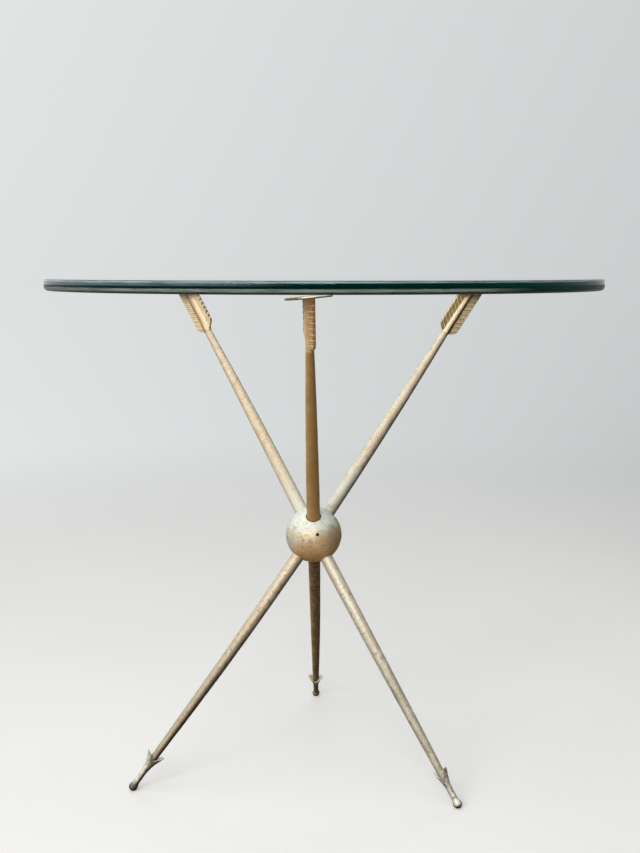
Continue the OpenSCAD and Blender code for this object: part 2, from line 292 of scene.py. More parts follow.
def read_arrow(i):
    """The frames of arrow i: its lower and upper half from the ball, its knob and its plate."""
    knob = MOUNT_PLACES[f"foot_{i}"] + UP * (KNOB_R - FOOT_FLAT)
    low, high = box_mm(f"arrow_{i}_rest_plate")
    middle = (low + high) / 2
    outward = unit((middle - HUB) * (1, 1, 0))
    sideways = np.cross(UP, outward)
    tilt = math.radians(PLATE_TILT[i])
    normal = UP * math.cos(tilt) - sideways * math.sin(tilt)
    plate = Axes(middle - normal * PLATE_T / 2, normal, outward)
    upper = Axes(HUB, plate.origin - HUB, DOWN)
    lower = Axes(HUB, knob - HUB, DOWN)
    return SimpleNamespace(
        upper=upper,
        lower=lower,
        knob=Axes(knob, HUB - knob, DOWN),
        plate=plate,
        upper_l=(GLASS_Z - HUB[2]) / upper.z[2],
        lower_l=np.linalg.norm(knob - HUB),
        head_seat=HEAD_L[i] - NOTCH_DEPTH - SHOULDER_DEPTH,
    )


arrows = {i: read_arrow(i) for i in ARROWS}


# Fields and meshes

def soft_min(a, b, blend):
    share = np.clip(0.5 + 0.5 * (b - a) / blend, 0, 1)
    return b * (1 - share) + a * share - blend * share * (1 - share)


def soft_max(a, b, blend):
    return -soft_min(-a, -b, blend)


def smooth_step(value, start, end):
    share = np.clip((value - start) / (end - start), 0, 1)
    return share * share * (3 - 2 * share)


def band(value, rise, full, fall, end):
    """0 outside of rise and end, 1 between full and fall, and smooth in between."""
    return smooth_step(value, rise, full) * (1 - smooth_step(value, fall, end))


def settle(points, field, step, rounds=2):
    """Moves points onto the field's zero surface, and returns them with their normals."""
    reach = 0.05
    for _ in range(rounds):
        slope = np.stack([
            (field(points + offset) - field(points - offset)) / (2 * reach)
            for offset in np.eye(3) * reach
        ], axis=1)
        size = np.linalg.norm(slope, axis=1, keepdims=True)
        normals = slope / np.maximum(size, 1e-6)
        move = np.clip(field(points)[:, None] / np.maximum(size, 0.3), -step / 3, step / 3)
        points = points - move * normals
    return points, normals


def surface_net(field, low, high, step):
    """Points, quads and normals of the field's zero surface, found on a grid of that step."""
    low = np.array(low, float)
    counts = np.ceil((np.array(high) - low) / step).astype(int) + 1
    rows = [low[k] + step * np.arange(counts[k]) for k in range(3)]
    grid = np.stack(np.meshgrid(*rows, indexing="ij"), axis=-1).reshape(-1, 3)
    values = field(grid).reshape(counts)
    inside = values < 0
    corners = [np.array((i, j, k)) for i in (0, 1) for j in (0, 1) for k in (0, 1)]
    filled = sum(
        inside[a:counts[0] - 1 + a, b:counts[1] - 1 + b, c:counts[2] - 1 + c].astype(int)
        for a, b, c in corners
    )
    cells = np.argwhere((filled > 0) & (filled < 8))
    number = np.full(counts - 1, -1)
    number[tuple(cells.T)] = np.arange(len(cells))
    sums = np.zeros((len(cells), 3))
    hits = np.zeros(len(cells))
    for start in corners:
        for axis in range(3):
            if start[axis]:
                continue
            along = np.eye(3, dtype=int)[axis]
            first = values[tuple((cells + start).T)]
            last = values[tuple((cells + start + along).T)]
            crossed = (first < 0) != (last < 0)
            share = first[crossed] / (first[crossed] - last[crossed])
            sums[crossed] += start + share[:, None] * along
            hits[crossed] += 1
    points = low + step * (cells + sums / hits[:, None])
    quads = []
    for axis in range(3):
        one, two = np.eye(3, dtype=int)[(axis + 1) % 3], np.eye(3, dtype=int)[(axis + 2) % 3]
        before = np.delete(inside, -1, axis)
        after = np.delete(inside, 0, axis)
        edges = np.argwhere(before != after)
        ring = [edges, edges - one, edges - one - two, edges - two]
        quad = np.stack([number[tuple(cell.T)] for cell in ring], axis=1)
        outward = before[tuple(edges.T)]
        quad[~outward] = quad[~outward][:, ::-1]
        quads.append(quad)
    points, normals = settle(points, field, step)
    return points, np.concatenate(quads), normals


def lathe(profile, sides, ring=False):
    """Points and faces of radii and heights turned round Z. A ring's profile is closed."""
    points, faces, rows = [], [], []
    for radius, height in profile:
        start = len(points)
        if radius == 0:
            points.append((0, 0, height))
            rows.append([start] * sides)
            continue
        for k in range(sides):
            angle = 2 * math.pi * k / sides
            points.append((radius * math.cos(angle), radius * math.sin(angle), height))
        rows.append(list(range(start, start + sides)))
    pairs = list(zip(rows, rows[1:])) + ([(rows[-1], rows[0])] if ring else [])
    for under, over in pairs:
        for k in range(sides):
            after = (k + 1) % sides
            corners = (under[k], under[after], over[after], over[k])
            faces.append(list(dict.fromkeys(corners)))
    return np.array(points, float), faces


def arc(middle, radius, start, end, steps):
    """Points of an arc as radii and heights, from one angle to another, in degrees."""
    angles = np.radians(np.linspace(start, end, steps + 1))
    return [(middle[0] + radius * math.cos(a), middle[1] + radius * math.sin(a)) for a in angles]


def add_object(name, data):
    """A new object of the scene."""
    thing = bpy.data.objects.new(name, data)
    bpy.context.scene.collection.objects.link(thing)
    return thing


def ripple(points, size, seed):
    """Smooth noise from -1 to 1 at each point, whose lumps have about that size."""
    shift = Vector((seed * 7.3, seed * 3.1, seed * 5.7))
    return np.array([noise.noise(Vector(point) / size + shift) for point in points])


def lumps(points, waves, shift=0):
    """The sum of ripples that are each given as height, size and seed."""
    return sum(height * ripple(points, size, seed + shift) for height, size, seed in waves)


def flat(points):
    """The points laid down to the height of 0."""
    return points * (1, 1, 0)


def make_piece(name, points, faces, slot, body="frame", **attributes):
    """A smooth mesh that replaces the CAD node of the same name, with its own attributes."""
    mesh = bpy.data.meshes.new(name)
    faces = faces.tolist() if isinstance(faces, np.ndarray) else faces
    mesh.from_pydata((points * MM).tolist(), [], faces)
    mesh.shade_smooth()
    mesh.materials.append(materials[slot])
    for key, values in attributes.items():
        values = np.broadcast_to(values, len(points)) if np.ndim(values) < 2 else values
        kind, field = ("FLOAT", "value") if values.ndim == 1 else ("FLOAT_VECTOR", "vector")
        attribute = mesh.attributes.new(key, kind, "POINT")
        attribute.data.foreach_set(field, values.astype(np.float32).ravel())
    piece = add_object(name + "_look", mesh)
    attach(piece, body)
    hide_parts(name)
    return piece


# Node trees

def srgb(red, green, blue):
    """A colour given as it looks on a screen, from 0 to 255."""
    def linear(value):
        value /= 255
        return value / 12.92 if value <= 0.04045 else ((value + 0.055) / 1.055) ** 2.4
    return (linear(red), linear(green), linear(blue), 1.0)


class Tree:
    """A node tree, with short calls for the nodes in it."""

    def __init__(self, tree):
        self.nodes = tree.nodes
        self.links = tree.links

    def feed(self, socket, value):
        if isinstance(value, bpy.types.NodeSocket):
            self.links.new(value, socket)
        else:
            socket.default_value = value

    def add(self, kind, settings=None, **inputs):
        node = self.nodes.new("ShaderNode" + kind)
        for key, value in (settings or {}).items():
            setattr(node, key, value)
        for key, value in inputs.items():
            self.feed(node.inputs[key.replace("_", " ")], value)
        return node

    def math(self, operation, a, b, clamp=False):
        node = self.add("Math", {"operation": operation, "use_clamp": clamp})
        self.feed(node.inputs[0], a)
        self.feed(node.inputs[1], b)
        return node.outputs["Value"]

    def dot(self, vector, x, y, z):
        node = self.add("VectorMath", {"operation": "DOT_PRODUCT"})
        self.feed(node.inputs[0], vector)
        node.inputs[1].default_value = Vector((x, y, z)).normalized()
        return node.outputs["Value"]

    def spread(self, value, start, end, low=0.0, high=1.0, kind="SMOOTHSTEP"):
        """Maps start to low and end to high, held at both ends."""
        node = self.add("MapRange", {"interpolation_type": kind}, Value=value)
        limits = {"From Min": start, "From Max": end, "To Min": low, "To Max": high}
        for key, number in limits.items():
            node.inputs[key].default_value = number
        return node.outputs["Result"]

    def blend(self, share, a, b):
        """One shader that passes into another."""
        node = self.add("MixShader")
        for socket, value in zip(node.inputs, (share, a, b)):
            self.feed(socket, value)
        return node.outputs["Shader"]


class Shader(Tree):
    """A material of one Principled shader, with short calls for what feeds it."""

    def __init__(self, name):
        self.material = bpy.data.materials.new(name)
        self.material.use_nodes = True
        super().__init__(self.material.node_tree)
        self.surface = self.nodes["Principled BSDF"]
        self.place = self.add("TexCoord").outputs["Object"]

    def set(self, **inputs):
        for key, value in inputs.items():
            self.feed(self.surface.inputs[key.replace("_", " ")], value)

    def noise(self, size, detail=3.0, roughness=0.55, where=None):
        """Noise from 0 to 1 with lumps of that size in millimetres, or in the units of where."""
        scale = 1 / size if where is not None else 1 / (size * MM)
        return self.add(
            "TexNoise", Vector=where or self.place,
            Scale=scale, Detail=detail, Roughness=roughness
        ).outputs["Fac"]

    def stretched(self, vector, x, y, z):
        return self.add("Mapping", Vector=vector, Scale=(x, y, z)).outputs["Vector"]

    def cells(self, size):
        """Distance from the nearest of scattered points, that far apart in millimetres."""
        return self.add(
            "TexVoronoi", Vector=self.place, Scale=1 / (size * MM)
        ).outputs["Distance"]

    def attribute(self, name, output="Fac"):
        return self.add("Attribute", {"attribute_name": name}).outputs[output]

    def mix(self, share, a, b):
        node = self.add("Mix", {"data_type": "RGBA"})
        for socket, value in zip((node.inputs[0], node.inputs[6], node.inputs[7]), (share, a, b)):
            self.feed(socket, value)
        return node.outputs[2]

    def facing(self, x, y, z):
        """How far the surface faces a direction of the table, from -1 to 1."""
        return self.dot(self.add("NewGeometry").outputs["Normal"], x, y, z)

    def bump(self, height, depth, before=None):
        """Raises the surface by depth in millimetres where height is 1."""
        node = self.add("Bump", Height=height, Distance=depth * MM, Strength=1.0)
        if before is not None:
            self.feed(node.inputs["Normal"], before)
        return node.outputs["Normal"]


def age(shader, colour, metal, rough, pits, pit_colour, depth, specular):
    """Ends a brass: pits of the given density, scratches, and grain in its gloss and relief."""
    pitted = shader.spread(shader.cells(2.6), 0.0, 0.22, 1.0, 0.0)
    gate = shader.spread(shader.noise(9), 0.62 - pits, 0.7 - pits)
    pitted = shader.math("MULTIPLY", pitted, gate)
    scratch_way = shader.stretched(shader.place, 1.0, 0.16, 0.5)
    scratches = shader.spread(shader.noise(0.55, 4), 0.35, 0.75)
    streaks = shader.spread(shader.noise(0.0011, 2, 0.5, scratch_way), 0.56, 0.7)
    colour = shader.mix(pitted, colour, pit_colour)
    grain = shader.math("MULTIPLY", shader.math("ADD", scratches, streaks), 0.5)
    gloss = shader.math("ADD", rough, shader.math("MULTIPLY", grain, 0.14), True)
    gloss = shader.math("ADD", gloss, shader.math("MULTIPLY", pitted, 0.25), True)
    relief = shader.bump(shader.noise(5, 3), depth)
    relief = shader.bump(grain, depth * 0.22, relief)
    relief = shader.bump(shader.math("SUBTRACT", 1.0, pitted), depth, relief)
    shader.set(
        Base_Color=colour, Metallic=metal, Roughness=gloss, Normal=relief,
        Specular_IOR_Level=specular
    )


def weather(shader, colour, bleached, browned, patch, uneven, bleach=0.65):
    """Paints light and shade into a colour: lighter where the surface faces the light of its room,
    darker brown where it faces down and away, unevenly.
    """
    uneven = shader.spread(shader.noise(patch, 4), 0.25, 0.75, -uneven, uneven)
    sun = shader.math("ADD", shader.facing(-0.3, -0.3, 0.9), uneven)
    colour = shader.mix(shader.spread(sun, 0.1, 0.95, 0.0, bleach), colour, bleached)
    return shader.mix(shader.spread(sun, -0.45, 0.35, 0.85, 0.0), colour, browned)


def ball_brass():
    shader = Shader("ball_brass")
    cloud = shader.spread(shader.noise(20, 4), 0.35, 0.65)
    colour = shader.mix(cloud, srgb(226, 184, 134), srgb(238, 204, 162))
    uneven = shader.spread(shader.noise(8, 7, 0.65), 0.25, 0.75, -0.22, 0.22)
    level = shader.math("ADD", shader.facing(-0.12, -0.1, 0.98), uneven)
    # Painted shade and a painted warm reflection from below: the underside turns orange-brown, with
    # a cream band above it
    colour = shader.mix(shader.spread(level, -0.95, 0.1, 0.97, 0.0), colour, srgb(208, 160, 96))
    colour = shader.mix(shader.spread(level, -0.2, 0.35, 0.0, 0.65), colour, srgb(222, 202, 168))
    # Painted light: the left side is lightened
    left = shader.math("ADD", shader.facing(-1, -0.1, 0.15), uneven)
    colour = shader.mix(shader.spread(left, 0.45, 1.0, 0.0, 0.7), colour, srgb(240, 240, 220))
    # Whitish bloom on the top: partly patina, partly painted light from above
    bloom = shader.spread(level, 0.16, 0.66)
    colour = shader.mix(shader.math("MULTIPLY", bloom, 0.95), colour, srgb(240, 247, 237))
    bare = shader.math("SUBTRACT", 1.0, shader.math("MULTIPLY", bloom, 0.8))
    # Painted shade: the right side turns grey-green, less so under the bloom
    shaded = shader.math("ADD", shader.facing(0.85, -0.25, 0), uneven)
    shaded = shader.math("MULTIPLY", shader.spread(shaded, 0.3, 1.0, 0.0, 0.4), bare)
    colour = shader.mix(shaded, colour, srgb(122, 118, 88))
    tarnish = shader.spread(shader.noise(5, 7, 0.65), 0.5, 0.68, 0.0, 0.45)
    colour = shader.mix(tarnish, colour, srgb(132, 104, 68))
    specks = shader.spread(shader.noise(2, 5, 0.6), 0.53, 0.66, 0.0, 0.4)
    colour = shader.mix(shader.math("MULTIPLY", specks, bare), colour, srgb(116, 94, 62))
    colour = shader.mix(shader.attribute("crevice"), colour, srgb(66, 48, 32))
    metal = shader.spread(bloom, 0, 1, 0.5, 0.1)
    rough = shader.spread(bloom, 0, 1, 0.5, 0.66)
    age(
        shader, colour, metal, rough, pits=0.1, pit_colour=srgb(104, 82, 58),
        depth=0.14, specular=0.3
    )
    return shader.material


def upper_shaft_brass():
    shader = Shader("upper_shaft_brass")
    along = shader.attribute("along")
    tone = shader.attribute("tone")
    cloud = shader.spread(shader.noise(14, 4), 0.35, 0.65)
    pale = shader.mix(cloud, srgb(230, 210, 176), srgb(243, 228, 199))
    patches = {"patch": 16, "uneven": 0.14}
    # Painted light and shade on the pale and the brown tone: lighter toward the light, browner
    # facing away
    pale = weather(shader, pale, srgb(246, 236, 212), srgb(138, 108, 68), **patches)
    brown = shader.mix(cloud, srgb(236, 194, 126), srgb(248, 210, 146))
    brown = weather(shader, brown, srgb(244, 218, 168), srgb(186, 142, 80), **patches)
    edge = shader.math("ADD", along, shader.spread(shader.noise(10, 4), 0.2, 0.8, -26, 26))
    red = shader.spread(edge, 30, 110, 0.65, 0)
    brown = shader.mix(red, brown, srgb(206, 156, 108))
    patina = shader.spread(edge, 34, 130, 0.85, 0)
    bloom = srgb(242, 244, 229)
    # Painted light and shade on the whitish patina as well
    bloom = weather(shader, bloom, srgb(250, 253, 243), srgb(158, 150, 130), **patches)
    pale = shader.mix(patina, pale, bloom)
    colour = shader.mix(tone, pale, brown)
    blush = shader.spread(shader.noise(9, 3), 0.5, 0.66, 0.0, 0.35)
    colour = shader.mix(blush, colour, srgb(206, 164, 132))
    # Painted shade on the side away from the light, over an even dark tone
    colour = shader.mix(shader.attribute("soot"), colour, srgb(66, 46, 24))
    bare = shader.math("SUBTRACT", tone, shader.math("MULTIPLY", patina, 0.3))
    metal = shader.spread(bare, 0, 1, 0, 0.6)
    rough = shader.spread(cloud, 0, 1, 0.52, 0.6)
    age(
        shader, colour, metal, rough, pits=-0.2, pit_colour=srgb(140, 112, 82),
        depth=0.05, specular=0.2
    )
    return shader.material


def lower_shaft_brass():
    shader = Shader("lower_shaft_brass")
    along = shader.attribute("along")
    tone = shader.attribute("tone")
    cloud = shader.spread(shader.noise(12, 4), 0.32, 0.68)
    worn = shader.mix(cloud, srgb(216, 198, 170), srgb(232, 218, 194))
    patches = {"patch": 14, "uneven": 0.16}
    # Painted light and shade on each tone of the lower shaft: lighter toward the light, darker
    # facing away
    worn = weather(shader, worn, srgb(240, 234, 216), srgb(124, 100, 70), **patches)
    dull = shader.mix(cloud, srgb(178, 166, 144), srgb(204, 192, 170))
    dull = weather(shader, dull, srgb(222, 213, 195), srgb(84, 69, 48), **patches)
    edge = shader.math("ADD", along, shader.spread(shader.noise(26, 4), 0.2, 0.8, -50, 50))
    colour = shader.mix(shader.spread(edge, 40, 240), worn, dull)
    dark = shader.mix(cloud, srgb(204, 164, 108), srgb(222, 186, 130))
    dark = weather(shader, dark, srgb(214, 186, 142), srgb(104, 68, 28), **patches)
    colour = shader.mix(tone, colour, dark)
    blotch = shader.spread(shader.noise(5, 6), 0.54, 0.68)
    colour = shader.mix(shader.math("MULTIPLY", blotch, 0.5), colour, srgb(128, 108, 82))
    specks = shader.spread(shader.noise(2, 5, 0.6), 0.54, 0.66, 0.0, 0.4)
    colour = shader.mix(specks, colour, srgb(104, 84, 60))
    flecks = shader.spread(shader.noise(3, 5, 0.6), 0.56, 0.68, 0.0, 0.5)
    colour = shader.mix(flecks, colour, srgb(240, 232, 214))
    # Painted shade on the side away from the light, over an even dark tone
    colour = shader.mix(shader.attribute("soot"), colour, srgb(56, 38, 20))
    rough = shader.spread(along, 60, 300, 0.52, 0.62)
    age(
        shader, colour, 0.3, rough, pits=0.1, pit_colour=srgb(84, 66, 46),
        depth=0.1, specular=0.25
    )
    return shader.material


def head_brass():
    shader = Shader("head_brass")
    cloud = shader.spread(shader.noise(5, 5), 0.35, 0.65)
    grey = shader.mix(cloud, srgb(132, 123, 104), srgb(170, 160, 140))
    brown = shader.mix(cloud, srgb(172, 146, 102), srgb(196, 170, 126))
    colour = shader.mix(shader.attribute("tone"), grey, brown)
    # Painted light and shade: nearly white toward the light, dark brown facing away
    colour = weather(
        shader, colour, srgb(250, 246, 232), srgb(62, 48, 30), patch=4, uneven=0.3, bleach=0.92
    )
    green = shader.spread(shader.noise(4, 5), 0.58, 0.7, 0, 0.4)
    colour = shader.mix(green, colour, srgb(140, 146, 122))
    # Painted highlight along the rims of the notch and the flare
    colour = shader.mix(shader.attribute("edge"), colour, srgb(252, 246, 230))
    # Painted shade on the side away from the light, over an even dark tone
    colour = shader.mix(shader.attribute("soot"), colour, srgb(56, 38, 20))
    # Darker towards the floor and at the joint round the socket
    colour = shader.mix(shader.attribute("grime"), colour, srgb(60, 46, 30))
    rough = shader.spread(cloud, 0, 1, 0.5, 0.6)
    age(
        shader, colour, 0.3, rough, pits=0.14, pit_colour=srgb(72, 58, 40),
        depth=0.22, specular=0.3
    )
    return shader.material


def fletching_brass():
    shader = Shader("fletching_brass")
    relief = shader.attribute("relief")
    gold = shader.attribute("gold")
    tone = shader.attribute("tone")
    patch = shader.spread(shader.noise(9, 3), 0.42, 0.6)
    low = shader.mix(gold, srgb(226, 190, 148), srgb(226, 166, 100))
    low = shader.mix(tone, low, shader.mix(patch, srgb(126, 114, 58), srgb(150, 106, 70)))
    high = shader.mix(gold, srgb(246, 221, 182), srgb(255, 240, 200))
    high = shader.mix(tone, high, srgb(226, 204, 160))
    grain = shader.attribute("grain", "Vector")
    strands = shader.noise(0.5, 3, 0.6, shader.stretched(grain, 1.0, 0.08, 1.0))
    lifted = shader.math("ADD", relief, shader.spread(strands, 0.3, 0.7, -0.2, 0.2), True)
    colour = shader.mix(shader.spread(lifted, 0.1, 0.9), low, high)
    blush = shader.spread(shader.noise(11, 3), 0.52, 0.66, 0.0, 0.45)
    colour = shader.mix(blush, colour, srgb(206, 152, 116))
    # Colour of the painted highlight on the midrib and rail
    ridge = shader.mix(tone, srgb(204, 168, 128), srgb(246, 222, 184))
    ridge = shader.mix(gold, ridge, srgb(248, 204, 136))
    colour = shader.mix(shader.attribute("ridge"), colour, ridge)
    # Painted light and shade: lighter toward the light, browner facing down and away
    browned = shader.mix(gold, srgb(174, 138, 90), srgb(228, 168, 94))
    colour = weather(
        shader, colour, srgb(246, 232, 206), browned, patch=6, uneven=0.2, bleach=0.4
    )
    # Painted shade under the midrib, in the edge gaps and at the vane ends
    colour = shader.mix(shader.attribute("groove"), colour, srgb(100, 74, 36))
    rough = shader.spread(relief, 0, 1, 0.56, 0.46)
    age(
        shader, colour, 0.35, rough, pits=0.04, pit_colour=srgb(120, 90, 58),
        depth=0.08, specular=0.35
    )
    before = shader.surface.inputs["Normal"].links[0].from_socket
    shader.set(Normal=shader.bump(strands, 0.2, before))
    return shader.material


def plate_brass():
    shader = Shader("plate_brass")
    cloud = shader.spread(shader.noise(8, 5), 0.35, 0.65)
    colour = shader.mix(cloud, srgb(120, 98, 66), srgb(150, 126, 90))
    bloom = shader.spread(shader.noise(3.4, 4), 0.52, 0.62, 0, 0.8)
    colour = shader.mix(bloom, colour, srgb(214, 204, 176))
    # Painted highlight on part of the rim
    colour = shader.mix(shader.attribute("worn"), colour, srgb(255, 250, 236))
    # Painted shade along the lower edge of the rim
    colour = shader.mix(shader.attribute("grime"), colour, srgb(76, 56, 32))
    age(
        shader, colour, 0.4, 0.5, pits=0.12, pit_colour=srgb(84, 64, 44),
        depth=0.12, specular=0.5
    )
    return shader.material


def clear_bumper():
    shader = Shader("clear_bumper")
    haze = shader.spread(shader.noise(2.5, 4), 0.3, 0.7)
    shader.set(
        Base_Color=shader.mix(haze, srgb(252, 248, 240), srgb(255, 254, 250)),
        Roughness=shader.spread(haze, 0, 1, 0.3, 0.5),
        IOR=1.45,
        Transmission_Weight=0.1,
        Subsurface_Weight=0.3,
        Subsurface_Radius=(0.002, 0.002, 0.002),
        Subsurface_Scale=1.0,
        Normal=shader.bump(haze, 0.1),
    )
    return shader.material


def clear_glass():
    """Green pane. Where its edge is ground, it scatters light as a milky and streaky band, tinted
    with painted light.
    """
    shader = Shader("clear_glass")
    along_edge = shader.stretched(shader.place, 1000, 1000, 32000)
    streaks = shader.spread(shader.noise(32, 4, 0.6, along_edge), 0.36, 0.62, 0.5, 1.0)
    milk = shader.math("MULTIPLY", shader.attribute("milk"), streaks)
    # Painted light: the milky bands are tinted blue-grey at the top and grey-green below
    shade = shader.mix(shader.attribute("arris"), srgb(206, 220, 206), srgb(176, 212, 226))
    # Painted shade: the thin dark lines on the edge
    shade = shader.mix(shader.attribute("grime"), shade, srgb(8, 14, 10))
    smear = shader.spread(shader.noise(60, 4), 0.45, 0.7, 0.0, 0.02)
    shader.set(
        Base_Color=shader.mix(shader.spread(milk, 0.0, 0.12), (1, 1, 1, 1), shade),
        Transmission_Weight=shader.math("SUBTRACT", 1.0, milk),
        Roughness=shader.math("ADD", smear, shader.math("MULTIPLY", milk, 0.35)),
        Specular_Tint=(0.1, 0.25, 0.25, 1),
        IOR=1.52,
    )
    volume = shader.add("VolumeAbsorption", Color=(0.0, 0.56, 0.49, 1), Density=15.0)
    shader.links.new(volume.outputs["Volume"], shader.nodes["Material Output"].inputs["Volume"])
    return shader.material


# Pieces

def build_glass():
    """The round pane: a slightly full edge between two ground and polished rounds."""
    radius = min(*GLASS_HIGH[:2], *-GLASS_LOW[:2])
    top = GLASS_HIGH[2]
    widest = GLASS_Z + GLASS_LOWER_R + (top - GLASS_Z - GLASS_LOWER_R - GLASS_UPPER_R) / 2
    swell = math.degrees(math.asin((top - GLASS_UPPER_R - widest) / EDGE_SWELL_R))
    lean = math.sin(math.radians(swell))
    lower_r, upper_r = GLASS_LOWER_R / (1 - lean), GLASS_UPPER_R / (1 - lean)
    start = radius - EDGE_SWELL_R + EDGE_SWELL_R * math.cos(math.radians(swell))
    lower_x = start - lower_r * math.cos(math.radians(swell))
    upper_x = start - upper_r * math.cos(math.radians(swell))
    profile = [(0, GLASS_Z), (radius * 0.5, GLASS_Z), (lower_x - EDGE_LEAD, GLASS_Z)]
    profile += arc((lower_x, GLASS_Z + lower_r), lower_r, -90, -swell, 16)
    profile += arc((radius - EDGE_SWELL_R, widest), EDGE_SWELL_R, -swell, swell, 12)[1:-1]
    profile += arc((upper_x, top - upper_r), upper_r, swell, 90, 12)
    profile += [(upper_x - EDGE_LEAD, top), (radius * 0.5, top), (0, top)]
    points, faces = lathe(profile, GLASS_SIDES)
    height = points[:, 2] - GLASS_Z
    turn = np.degrees(np.arctan2(points[:, 1], points[:, 0])) % 360
    rim = smooth_step(np.linalg.norm(points[:, :2], axis=1), upper_x - 1, upper_x + 1)
    seam = 0.42 * band(height, *SEAM_HEIGHT) * band(turn, *SEAM_TURN)
    arris = 0.6 * band(height, *ARRIS_HEIGHT)
    # Painted reflection: a milky blue-grey band high on the edge at the front left
    veil = 0.2 * band(height, *VEIL_HEIGHT) * band(turn, *VEIL_TURN)
    # Painted shade: thin, nearly black milky lines low and high on the edge
    under, over = band(height, *UNDER_GRIME_HEIGHT), band(height, *OVER_GRIME_HEIGHT)
    grime = np.maximum(under, 0.85 * over)
    pane = make_piece(
        "glass_top", points, faces, "clear_glass", "top",
        # The milky share: the ground seam and arris, the painted reflection and the painted dark
        # lines
        milk=rim * np.maximum.reduce([seam, arris, veil, 0.9 * grime]),
        arris=smooth_step(height, *UPPER_SHADE_HEIGHT), grime=grime
    )
    pane.visible_shadow = False
    pane.visible_diffuse = False


def build_ball():
    """The hollow ball with its six sockets and the vent, softly rounded by wear at every rim."""
    ways = [
        (half.z, diameters[0] / 2 + SEAT_RING)
        for arrow in arrows.values()
        for half, diameters in ((arrow.upper, UPPER_SHAFT_D), (arrow.lower, LOWER_SHAFT_D))
    ]
    vent = azimuth_direction(VENT_AZIMUTH, VENT_RISE)

    def bore(points, way):
        along = points @ way
        return along, np.linalg.norm(points - along[:, None] * way, axis=1)

    def field(points):
        reach = np.linalg.norm(points, axis=1)
        solid = reach - BALL_R
        for way, socket_r in ways:
            along, off = bore(points, way)
            solid = soft_max(solid, -np.maximum(off - socket_r, SEAT_R - along), SOCKET_WEAR_R)
            solid = np.maximum(solid, -np.maximum(off - HUB_SPIGOT_R, CORE_R - 1 - along))
        along, off = bore(points, vent)
        solid = soft_max(solid, -np.maximum(off - VENT_R, CORE_R - 1 - along), SOCKET_WEAR_R)
        return np.maximum(solid, CORE_R - reach)

    def dirt(points, way, radius, reach):
        """1 in a bore, and less around its rim."""
        along, off = bore(points, way)
        return np.where(along > 0, np.exp(-np.maximum(off - radius, 0) / reach), 0)

    margin = BALL_R + 2
    points, quads, normals = surface_net(field, [-margin] * 3, [margin] * 3, BALL_STEP)
    outer = smooth_step(np.linalg.norm(points, axis=1), BALL_R - 1.5, BALL_R - 0.2)
    knocks = -0.3 * smooth_step(ripple(points, 6, 3), 0.42, 0.7)
    crevice = dirt(points, vent, VENT_R, reach=0.2)
    for way, socket_r in ways:
        crevice = np.maximum(crevice, dirt(points, way, socket_r, reach=0.4))
    relief = (lumps(points, BALL_LUMPS) + knocks - BALL_SINK) * outer
    points = points + normals * relief[:, None]
    make_piece("hub_ball", HUB + points, quads, "ball_brass", crevice=crevice)


def build_shaft(name, axes, start, end, diameters, slot, tone, seed):
    """A half shaft, slightly full in its middle, a little out of round and dented by use."""
    share = np.linspace(0, 1, math.ceil((end - start) / SHAFT_STEP) + 1)
    first, middle, last = diameters
    width = (
        first * (1 - share) * (1 - 2 * share)
        + middle * 4 * share * (1 - share)
        + last * share * (2 * share - 1)
    )
    heights = start + SHAFT_BEVEL + share * (end - start - 2 * SHAFT_BEVEL)
    profile = [(0, start), (first / 2 - SHAFT_BEVEL, start)]
    profile += list(zip(width / 2, heights))
    profile += [(last / 2 - SHAFT_BEVEL, end), (0, end)]
    points, faces = lathe(profile, SHAFT_SIDES)
    radius = np.linalg.norm(points[:, :2], axis=1)
    out = np.where(radius[:, None] > 0, flat(points) / np.maximum(radius, 0.1)[:, None], 0)
    wave = 0.12 * ripple(points * (1, 1, 0.35), 11, seed)
    knocks = -0.2 * smooth_step(ripple(points, 9, seed + 4), 0.4, 0.7)
    along = points[:, 2].copy()
    ends = smooth_step(np.minimum(along - start, end - along), 0, 6)
    points = points + out * ((wave + knocks) * ends)[:, None]
    share = np.clip((along - start) / (end - start), 0, 1)
    bent = np.sin(np.pi * share) * BOW[name]
    sideways = unit(RIGHT - np.dot(RIGHT, axes.z) * axes.z)
    # Painted shade: the side facing away from the light is darkened over an even dark tone, both
    # weaker towards the ball
    away = axes.point(out) @ -LIT_SIDE
    even, shaded, at_ball = SOOT[name]
    soot = even + shaded * smooth_step(away, -0.9, 0.4)
    soot = soot * (at_ball + (1 - at_ball) * smooth_step(share, 0.1, 0.85))
    make_piece(
        name, axes.place(points) + bent[:, None] * sideways, faces, slot,
        along=along, tone=tone, soot=soot
    )


